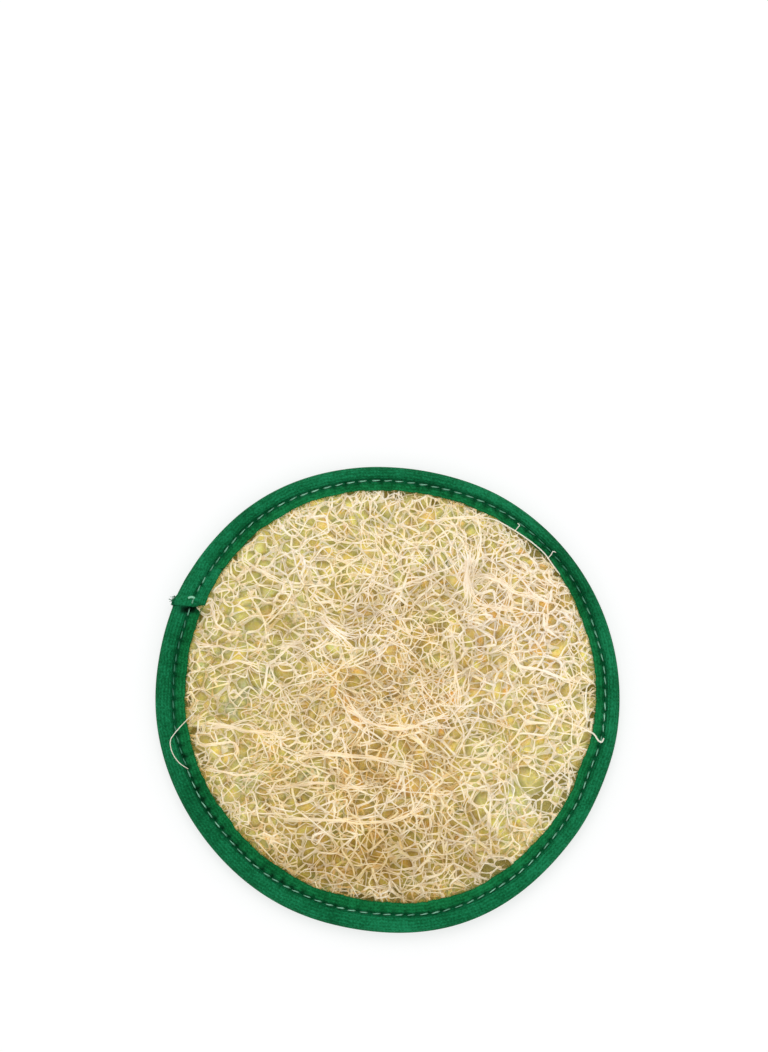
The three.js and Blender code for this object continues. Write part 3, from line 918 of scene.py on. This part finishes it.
fibre = {
    "sage": (0.56, 0.66, 0.34),
    "olive": (0.74, 0.7, 0.16),
    "orange": (0.72, 0.4, 0.09),
    "tan": (0.84, 0.69, 0.37),
    "straw": (0.845, 0.745, 0.54),
    "cream": (0.83, 0.75, 0.62),
    "white": (0.86, 0.815, 0.72),
    "shadeTint": (0.6, 0.49, 0.33),
}


def paintFibre(wire):
    tone, shade = wire.attribute("tone"), wire.attribute("shade")
    grain = wire.noise(700.0, 3.0) * 0.3 + wire.noise(2600.0, 2.0) * 0.12
    colour = ((tone + 0.2) * (1 / 1.4) + grain * 0.45 - 0.095).clamped().ramp(
        (0.0, fibre["sage"]),
        (0.11, fibre["olive"]),
        (0.26, fibre["orange"]),
        (0.41, fibre["tan"]),
        (0.64, fibre["straw"]),
        (0.93, fibre["cream"]),
        (1.0, fibre["white"]),
    )
    # the films are veined: paler along the borders of small cells
    border = wire.cells("DISTANCE_TO_EDGE", 700.0)
    vein = (1 - border * 7).clamped() * ((0.34 - tone) * 6).clamped() * 0.45
    colour = wire.blend(colour, (*fibre["tan"], 1), vein)
    # painted shade: where the shade is low the colour is multiplied towards a warm brown
    tint = ((shade - 0.5) * 2).clamped().ramp((0.0, fibre["shadeTint"]), (1.0, (1, 1, 1)))
    colour = wire.blend(colour, tint, 1.0, "MULTIPLY")
    height = wire.noise(5200.0, 2.0) + wire.noise(1500.0, 2.0) * 0.6 + vein
    # painted light: the fibre glows weakly in its own colour, which lifts its shadows
    return {"Base Color": colour, "Emission Color": colour, "Normal": wire.raised(height, 0.35, 0.00012)}


finish(
    "loofahFibre",
    fibrePieces,
    paintFibre,
    Roughness=0.75,
    Specular_IOR_Level=0.12,
    Subsurface_Weight=0.9,
    Subsurface_Radius=(1.0, 0.97, 0.92),
    Subsurface_Scale=0.0014,
    # painted light: the strength of the fibre's glow
    Emission_Strength=0.245,
)
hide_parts("loofah_mat")


# The tape's end lies over its start: a folded hem whose edge runs along x, then the cloth thins out
lap = {
    "edgeY": 30.6,
    "edgeNear": 156,  # degrees
    # mm along the tape past the edge, and how high the lap lies over the tape there
    "rise": (
        (-0.3, 0.5), (-0.1, 1.5), (0.4, 2.1), (1.9, 2.0), (3.0, 0.95), (3.6, 0.6), (9.0, 0.4), (13.0, 0.0)
    ),
    "under": -0.12,
    "dip": 1.8,
    # where a painted shadow darkens the tape under the hem's inner half: middle x and y, and reach along x
    # and y
    "hollow": (-63.9, 29.0, 3.0, 1.25),
    "atFold": 0.3,
    "corner": 0.35,
    "cornerAlong": (1.3, 1.4),
    "steps": 56,
    "length": 13.5,
    "yarns": 60,
}


def lapAngle(inset):
    # the angle at which a ring that far inside the rim meets the lap's edge
    angle = math.radians(lap["edgeNear"])
    for _ in range(4):
        radius = rimRadius(angle) - inset
        angle = math.pi - np.arcsin((lap["edgeY"] - rim["centreY"]) / radius)
    return angle


def faceEdge(angle):
    # how far the tape's inner edge is inside the rim: its width on the face, a little uneven
    x, y = fromRim(angle, 0)
    return tapeFace(angle) + 0.22 * waves(x, y, 17, 81) + 0.1 * waves(x, y, 5, 85)


def seamInset(angle):
    # how far the seam runs inside the rim
    x, y = fromRim(angle, 0)
    return tapeFace(angle) * tape["stitchShare"] + 0.16 * waves(x, y, 31, 82)


def stations(angle):
    # the tape's outer skin at each angle: (n, stations, 2) of distance in from the rim and height, from
    # the inner edge on the face, over the seam's groove and the roll, round the fold and back
    x, y = fromRim(angle, 0)
    face = faceEdge(angle)
    seam = seamInset(angle)
    puff = np.abs(np.sin(angle * tape["stitches"] / 2)) - 0.6  # low at the needle's holes
    roll = 0.12 * waves(x, y, 23, 83)
    short = (angle - lapAngle(0.8 * face)) * (rimRadius(angle) - face)
    dip = lap["dip"] * smooth((short + 1.5) / 2) * (1 - smooth((short - 0.6) / 2.6))
    marks = (
        (face + 0.1, 6.35 + roll - dip),
        (face + 0.12 * puff, 6.95 + 0.12 * puff + roll - dip),
        (mix(seam, face, 0.6), 6.95 + roll + 0.3 * puff - dip),
        (seam + 0.85 - 0.28 * puff, 6.6 + 0.55 * puff - dip),
        (seam + 0.35 - 0.25 * puff, 5.7 + 0.5 * puff),
        (seam - 0.15, 5.15 + 0.6 * puff),
        (seam - 0.65, 5.95 + 0.4 * puff),
        (seam - 1.3, 6.8 + 0.12 * puff + roll),
        (0.45 * seam + 0.4, 7.15 + roll),
        (0.95, 6.75 + roll),
        (0.22, 5.3),
        (0.0, 3.6),
        (0.25, 1.8),
        (1.1, 0.5),
        (2.3, 0.04),
        (seam - 1.2, 0.03),
        (seam - 0.4, 0.6 - 0.3 * puff),
        (seam + 0.1, 1.1 - 0.4 * puff),
        (seam + 0.7, 0.5 - 0.2 * puff),
        (mix(seam, face, 0.6), 0.28),
        (face, 0.3),
        (face + 0.1, 0.8),
    )
    return np.stack([np.stack(np.broadcast_arrays(*mark, angle)[:2], -1) for mark in marks], 1)


def curveWeights(count, between):
    # the matrix that takes a row of stations to the points of a smooth curve through them
    knots = np.concatenate([np.arange(count - 1)[:, None] + np.arange(between) / between]).ravel()
    knots = np.append(knots, count - 1)
    return through(np.eye(count), len(knots))


def skin(angle, between):
    # the smooth outer skin, with ribs along the tape as a cosine of the distance across it
    marks = stations(angle)
    line = np.einsum("ks,nsd->nkd", curveWeights(marks.shape[1], between), marks)
    step = np.linalg.norm(np.diff(line, axis=1), axis=2)
    across = np.concatenate([np.zeros((len(line), 1)), np.cumsum(step, 1)], 1)
    along = unit(np.gradient(line, axis=1))
    out = np.stack([along[..., 1], -along[..., 0]], -1)
    fromFold = across - across[:, [tape["foldMark"] * between]]
    onRoll = smooth((across - across[:, [tape["rollMark"] * between]]) / 0.8)
    rib = np.cos(turn * fromFold / tape["ribPitch"]) * tape["rib"] * mix(0.35, 1, onRoll)
    deep = -0.16 * np.exp(-(((fromFold + 3.3) / 0.3) ** 2))  # one furrow runs all round, near the fold
    line = line + out * (rib + deep)[..., None]
    line[..., 1] = np.maximum(line[..., 1], 0.03)
    return line, out, across


def makeTape():
    steps = tape["stitches"] * tape["perStitch"]
    angle = turn * np.arange(steps) / steps
    outer, out, across = skin(angle, tape["between"])
    fewer = slice(2, -2, 6)  # the lining needs fewer points than the skin
    lining = (outer - tape["cloth"] * out)[:, fewer][:, ::-1]
    ring = np.concatenate([outer, lining], 1)
    x, y = fromRim(angle[:, None], ring[..., 0])
    points = np.stack([x, y, ring[..., 1]], -1).reshape(-1, 3)
    columns = ring.shape[1]
    faces = gridFaces(steps, columns, closedRows=True, closedColumns=True)
    wide = np.concatenate([across, across[:, fewer][:, ::-1]], 1)
    row, column = faces // columns, faces % columns
    closing = (row == 0) & (row.max(1, keepdims=True) == steps - 1)
    uv = np.stack([np.where(closing, steps, row) / steps, wide[row, column] / 30], -1)
    # painted shadow on the tape under the hem's inner half
    atX, atY, wideX, wideY = lap["hollow"]
    hollow = np.exp(-(((points[:, 0] - atX) / wideX) ** 4) - ((points[:, 1] - atY) / wideY) ** 4)
    # painted shade: the cloth is painted dark at each needle hole, on the net's side, in the dimple that
    # the seam pulls there; darker in places
    offset, reach, deep = tape["dimpleShade"]
    hole = 1 - np.abs(np.sin(angle * tape["stitches"] / 2))
    hole = hole * (0.2 + bumps(angle, tape["dimpleShadeSpots"]))
    hole = hole * np.clip(1 + 0.6 * waves(*fromRim(angle, 0), 11, 84), 0.3, 1.4)
    past = ring[..., 0] - seamInset(angle)[:, None]
    dimpleShade = deep * hole[:, None] * np.exp(-(((past - offset) / reach) ** 2))
    onFace = points[:, 2] > rim["thick"] / 2
    hollow = np.maximum(hollow, dimpleShade.ravel()) * onFace
    values = {"hollow": hollow, "flap": smooth(past / 1.2).ravel() * onFace}
    piece = putMesh("bindingTape", points, [faces], values=values, uv=uv.reshape(-1, 2))
    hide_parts("binding_tape")
    return piece


def paintTape(wire):
    # the knit: V-shaped loops in columns along the tape. The colour is lighter where the loops and columns
    # stand up and darker between them, which is painted shade of the knit's relief, with noise for the
    # pile, the light and dark of worn yarn and patches
    cloth = wire.node("ShaderNodeUVMap", {"uv_map": "cloth"})
    split = cloth.node("ShaderNodeSeparateXYZ", (), {"Vector": cloth})
    across = cloth.node("ShaderNodeSeparateXYZ", (), {"Vector": cloth}, output=1)
    u, v = split * tape["loops"], across * tape["columns"]  # counted in loops and columns
    inColumn = v.maths("FRACT", v)
    lean = (inColumn - 0.5).maths("ABSOLUTE", inColumn - 0.5)
    loops = (u + lean * 1.2) * turn
    loop = loops.maths("SINE", loops) * 0.5 + 0.5
    column = (v * turn).maths("COSINE", v * turn) * 0.5 + 0.5
    pile = wire.noise(1250.0, 3.0, 0.7)
    wearAndShade = wire.noise(230.0, 4.0)
    patch = wire.noise(45.0, 3.0)
    height = loop * 0.5 + column * 0.6 + pile * 1.4
    # painted shade: the loop and column terms follow the knit's relief
    light = (loop * 0.1 + column * 0.18 + pile * 1.4 + wearAndShade * 0.7 + patch * 0.8 - 0.98).clamped()
    colour = light.ramp((0.0, tape["dark"]), (0.5, tape["colour"]), (1.0, tape["lit"]))
    colour = wire.blend(colour, (*tape["flapTint"], 1), wire.attribute("flap"), "MULTIPLY")
    # painted shadow: under the hem and at the needle holes the colour goes towards the shadow green
    colour = wire.blend(colour, (*tape["shadow"], 1), wire.attribute("hollow"))
    return {"Base Color": colour, "Normal": wire.raised(height, 0.7, 0.0003)}


tapePieces = [makeTape()]


def lapRise(angle, inset):
    # how far the lap lifts the face at a place, from its distance along the tape past the edge
    along = (lapAngle(inset) - angle) * (rimRadius(angle) - inset)
    at, up = np.array(lap["rise"]).T
    return np.interp(along, at, up, left=0, right=0)


def makeLap():
    # the hem's section lies along the tape: over the top from the tail to the edge, round the edge and
    # back beneath. It is carried across the tape's outer skin, and swells at the outer corner
    columns = np.arange(2, (tape["foldMark"] + 2) * tape["between"] + 1)
    at, up = np.array(lap["rise"]).T
    top = lap["length"] * (1 - np.linspace(0, 1, lap["steps"])) ** 1.7 - 0.2
    under = top[::-4]
    along = np.concatenate([top, under])[:, None]
    lift = np.concatenate([np.interp(top, at, up), np.full(len(under), lap["under"])])[:, None]
    marks = skin(np.array([lapAngle(0.0)]), tape["between"])[0][0, columns]
    inset = marks[:, 0][None, :]
    angle = lapAngle(inset) - along / (rimRadius(lapAngle(inset)) - inset)
    flat = angle.ravel()
    line, out, _ = skin(flat, tape["between"])
    pick = np.tile(columns, len(along))
    rows = np.arange(len(flat))
    line, out = line[rows, pick], out[rows, pick]
    middle, reach = lap["cornerAlong"]
    corner = np.exp(-(((along - middle) / reach) ** 2)) * np.exp(-((inset / 1.3) ** 2))
    corner = corner * smooth(marks[:, 1] / 5)
    settled = 0.25 + 0.75 * smooth((tapeFace(angle) - inset) / 1.2)
    wrinkle = (1 + 0.12 * waves(along * 3, inset * 2, 6, 95)) * settled
    wrinkle = wrinkle * mix(lap["atFold"], 1, smooth(inset / 2.4)) * smooth(marks[:, 1] / 3)
    shift = (lift * wrinkle + np.where(lift > 0, lap["corner"] * corner, 0)).ravel()[:, None]
    place = line + out * shift
    x, y = fromRim(flat, place[:, 0])
    count, wide = len(along), len(columns)
    faces = gridFaces(count, wide, closedRows=True)
    ends = [np.arange(count)[None, ::-1] * wide, np.arange(count)[None, :] * wide + wide - 1]
    row, column = faces // wide, faces % wide
    uv = np.stack([(angle % turn)[row, column] / turn, column * 0.4 / 30], -1).reshape(-1, 2)
    uv = np.concatenate([uv, np.zeros((2 * count, 2))])
    points = np.stack([x, y, place[:, 1]], -1)
    return putMesh("tapeLap", points, [faces[:, ::-1], *ends], uv=uv)


def yarns(name, root, heading, length, radius, seed):
    # short loose yarns: each leaves its root along its heading and curls a little
    draw = np.random.default_rng(seed)
    t = np.linspace(0, 1, 4)[None, :, None]
    curl = draw.normal(0, 0.45, root.shape)[:, None]
    path = root[:, None] + length[:, None, None] * (t * unit(heading)[:, None] + t**2 * curl)
    thick = np.full((len(root), 1), radius) * (1 - 0.6 * t[..., 0])
    points, faces = tubes(path, thick, 3)
    uv = np.random.default_rng(seed + 1).random((sum(f.size for f in faces), 2)) * 0.02
    return putMesh(name, points, faces, uv=uv)


def makeFray():
    # yarn ends at the lap's outer corner
    draw = np.random.default_rng(96)
    count = lap["yarns"]
    angle = lapAngle(0.0) + draw.uniform(-0.3, 2.6, count) / -rim["radius"]
    x, y = fromRim(angle, draw.uniform(-0.8, 0.3, count))
    root = np.stack([x, y, draw.uniform(4.2, 7.2, count)], -1)
    down = np.sin(angle) - draw.uniform(0, 1.1, count)
    heading = np.stack([np.cos(angle) - 0.2, down, draw.normal(0, 0.4, count)], -1)
    return yarns("lapFray", root, heading, draw.uniform(0.3, 1.1, count), 0.16, 97)


def makeFringe():
    # fuzz of cut yarn ends along the tape's inner edge
    draw = np.random.default_rng(98)
    count = tape["fringe"]
    angle = draw.uniform(0, turn, count)
    x, y = fromRim(angle, faceEdge(angle) - 0.1)
    root = np.stack([x, y, draw.uniform(6.3, 7.0, count)], -1)
    heading = np.stack([-np.cos(angle), -np.sin(angle), draw.normal(0.2, 0.5, count)], -1)
    heading[:, :2] += draw.normal(0, 0.45, (count, 2))
    return yarns("tapeFringe", root, heading, draw.uniform(0.3, 0.95, count), 0.1, 99)


tapePieces += [makeLap(), makeFray()]
fringe = makeFringe()
finish("bindingTape", tapePieces, paintTape, Roughness=0.9, Specular_IOR_Level=0.08)
finish(
    "tapeFuzz",
    [fringe],
    lambda wire: {"Base Color": wire.noise(1500.0).ramp((0.3, tape["colour"]), (0.7, tape["fuzz"]))},
    Roughness=0.95,
    Specular_IOR_Level=0.05,
)
print("tape")


thread = {
    "radius": 0.22,
    "rings": 13,
    "sides": 8,
    "face": (4.7, 6.3),  # heights in the needle holes and between them
    "back": (2.2, 0.62),
    "slant": 0.22,
    "twist": 9.5,
    "colour": (0.29, 0.64, 0.44),
    "shade": (0.05, 0.23, 0.13),
    "sunkInShade": ((178, 40, 1.3), (42, 34, 1.1)),
}


def makeStitches(name, node, heights, seed):
    # one stitch from needle hole to needle hole: it comes up, lies along the groove and goes down. Two
    # plies wind round it, so its radius is a twisted oval
    draw = np.random.default_rng(seed)
    count = tape["stitches"]
    t = np.linspace(0.15, 0.85, thread["rings"])[None, :]
    angle = turn * (np.arange(count)[:, None] + t + 0.05 * draw.normal(size=(count, 1))) / count
    inset = seamInset(angle) + thread["slant"] * (t - 0.5) * 2 * draw.uniform(0.3, 1.3, (count, 1))
    low, high = heights
    rise = smooth((np.minimum(t, 1 - t) - 0.14) / 0.2)
    slack = 0.08 * draw.normal(size=(count, 1))
    z = mix(low, high + slack, rise) + (lapRise(angle, inset) if high > low else 0)
    # painted shade: the stitches are darker where they lie sunk in the groove, and darker in seven broad
    # swells round the ring
    wearAndShade = bumps(angle, thread["sunkInShade"]) + 0.35 * np.abs(np.sin(angle * 3.5))
    x, y = fromRim(angle, inset)
    path = np.stack([x, y, z], -1)
    radius = np.full(path.shape[:2], thread["radius"]) * draw.uniform(0.88, 1.1, (count, 1))
    points, faces = tubes(path, radius, thread["sides"], flat=0.9)
    sides = thread["sides"]
    middle = np.repeat(path.reshape(-1, 3), sides, 0)
    around = np.tile(turn * np.arange(sides) / sides, count * thread["rings"])
    ply = np.cos(2 * around - np.repeat(np.tile(t[0] * thread["twist"], count), sides))
    points = middle + (points - middle) * (1 + 0.16 * ply)[:, None]
    each = np.repeat(draw.normal(0, 0.22, count), thread["rings"])
    # painted shade: each ply's crest is lighter and the groove between the plies darker
    tone = 0.75 + 0.3 * ply + np.repeat(each - wearAndShade.ravel(), sides)
    piece = putMesh(name, points, faces, values={"tone": tone})
    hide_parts(node)
    return piece


def paintThread(wire):
    fuzz = wire.noise(4200.0, 2.0)
    light = (wire.attribute("tone") * 0.7 + fuzz * 0.5).clamped()
    colour = wire.blend((*thread["shade"], 1), (*thread["colour"], 1), light)
    return {"Base Color": colour, "Normal": wire.raised(fuzz, 0.3, 0.0001)}


stitchPieces = [
    makeStitches("faceStitches", "seam_thread_face", thread["face"], 91),
    makeStitches("backStitches", "seam_thread_back", thread["back"], 92),
]


def makeLapLoop():
    # one thick slack stitch that lies on the hem
    way = [
        (-64.0, 32.5, 8.0), (-63.6, 32.9, 8.8), (-62.8, 33.1, 9.0), (-62.1, 32.9, 8.7), (-61.9, 32.5, 7.9)
    ]
    rings = 16
    points, faces = tubes(through(way, rings)[None], np.full((1, rings), 0.36), 8)
    return putMesh("lapStitch", points, faces, values={"tone": np.full(len(points), 1.5)})


stitchPieces.append(makeLapLoop())
finish("seamThread", stitchPieces, paintThread, Roughness=0.75, Specular_IOR_Level=0.15)
print("seam")
